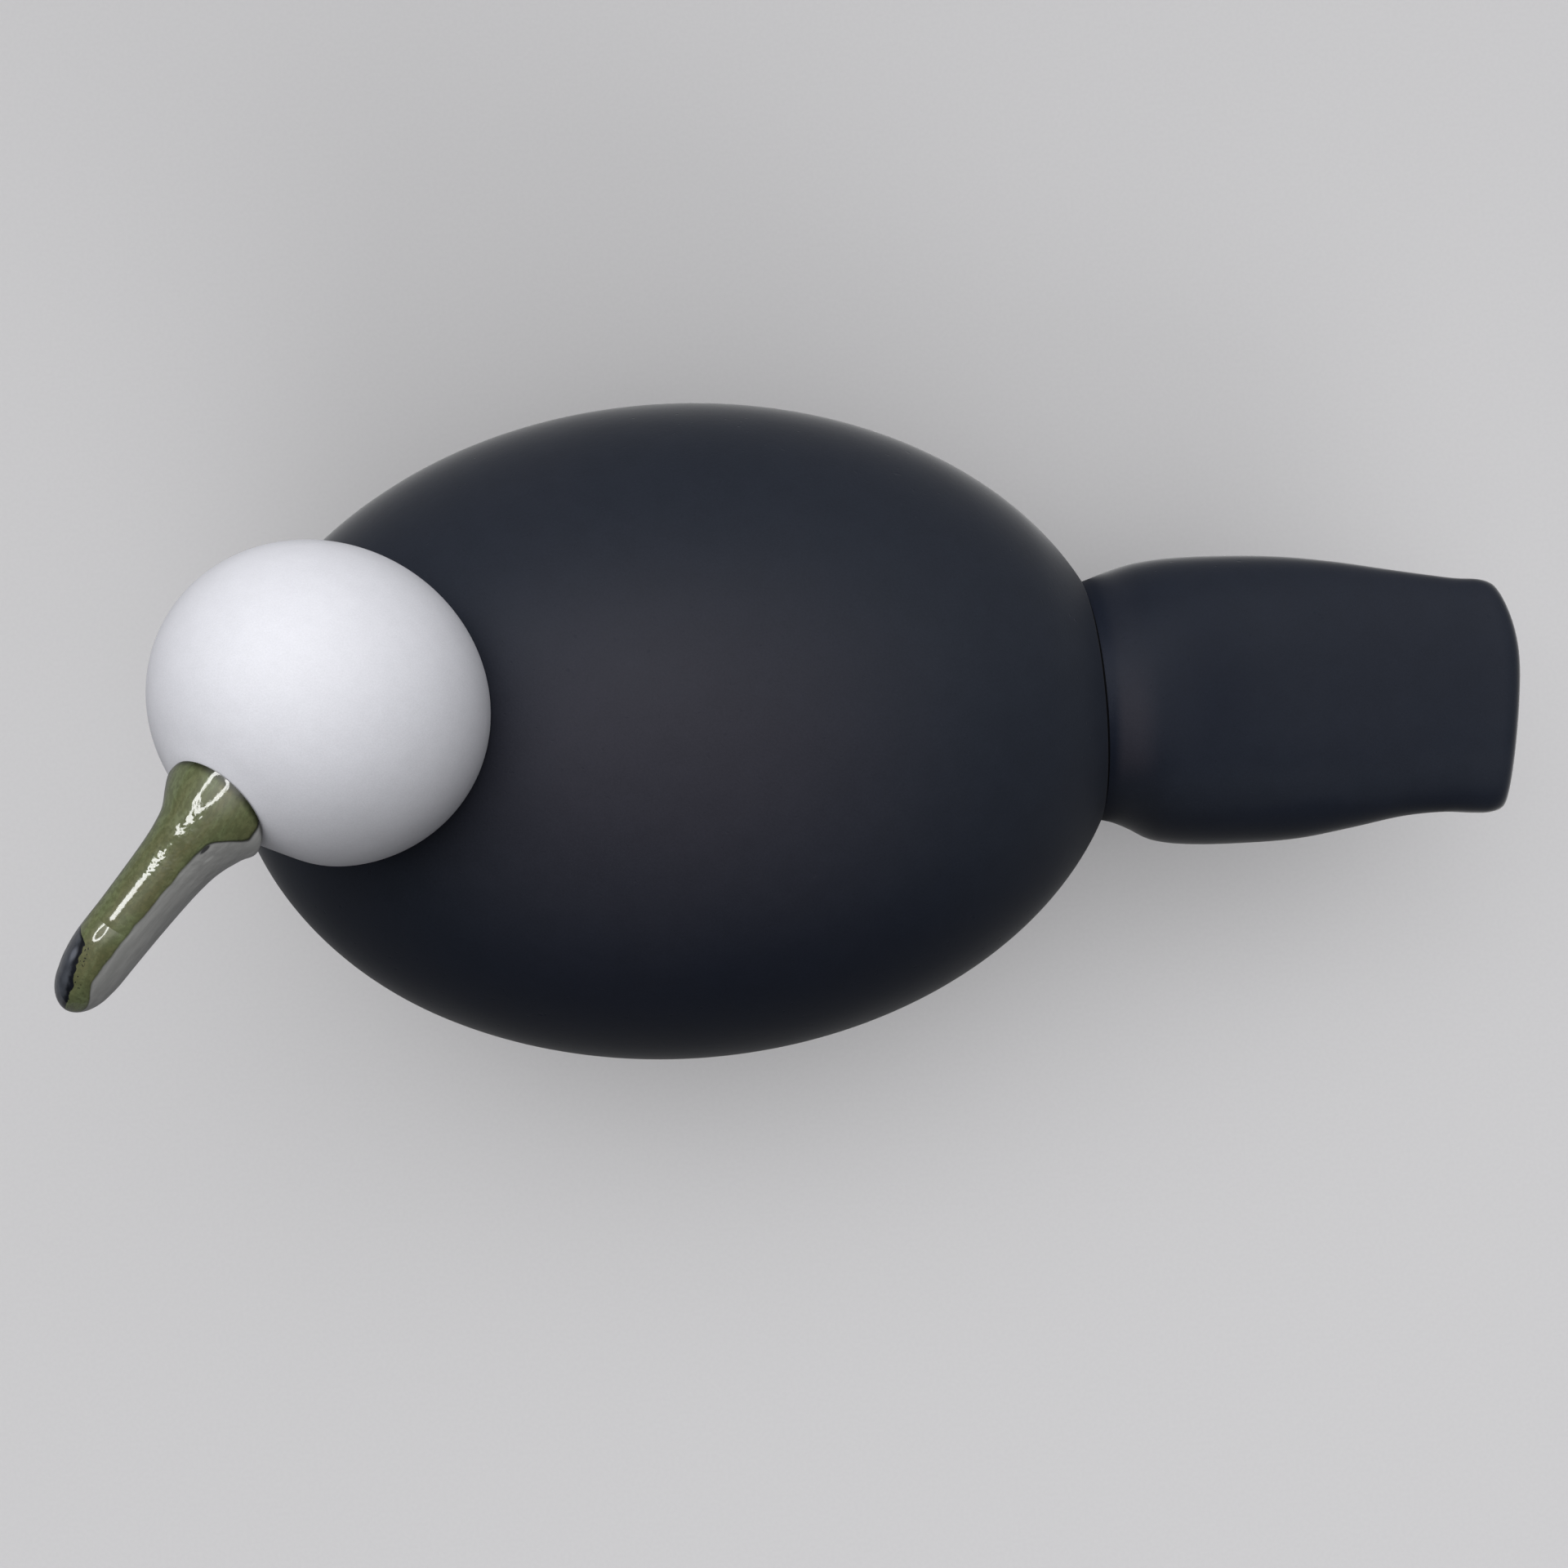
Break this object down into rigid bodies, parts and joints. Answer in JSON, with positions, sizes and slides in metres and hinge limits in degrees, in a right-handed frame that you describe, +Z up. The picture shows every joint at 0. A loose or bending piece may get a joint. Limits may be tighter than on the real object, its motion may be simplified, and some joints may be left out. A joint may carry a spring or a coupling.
{
  "type": "glass bird figurine",
  "caption": "Hand-blown glass bird figurine: a satin black egg-shaped body, a satin white ball head turned to its side, a slender glossy olive bill and a flattened satin black paddle tail.",
  "frame": {"origin": "centre of the ground flat under the body, on the surface the bird rests on", "axes": "+X from the breast to the tail along the body, +Z up, +Y to the bird's right; the head is turned to its left, -Y"},
  "size_m": [0.2328, 0.1174, 0.1235],
  "materials": {
    "black_satin_glass": "opaque black glass, acid-etched satin surface with a faint soft sheen",
    "white_satin_glass": "opaque opal white glass, acid-etched satin surface",
    "olive_lustre_glass": "glossy mottled olive green glass with lengthwise streaks, a smoky grey underside and a dark patch at the tip",
    "black_satin_tail_glass": "opaque black glass, acid-etched satin surface"
  },
  "bodies": {
    "root": {"body": "black_satin_glass", "head": "white_satin_glass", "bill": "olive_lustre_glass", "tail": "black_satin_tail_glass"}
  },
  "joints": []
}
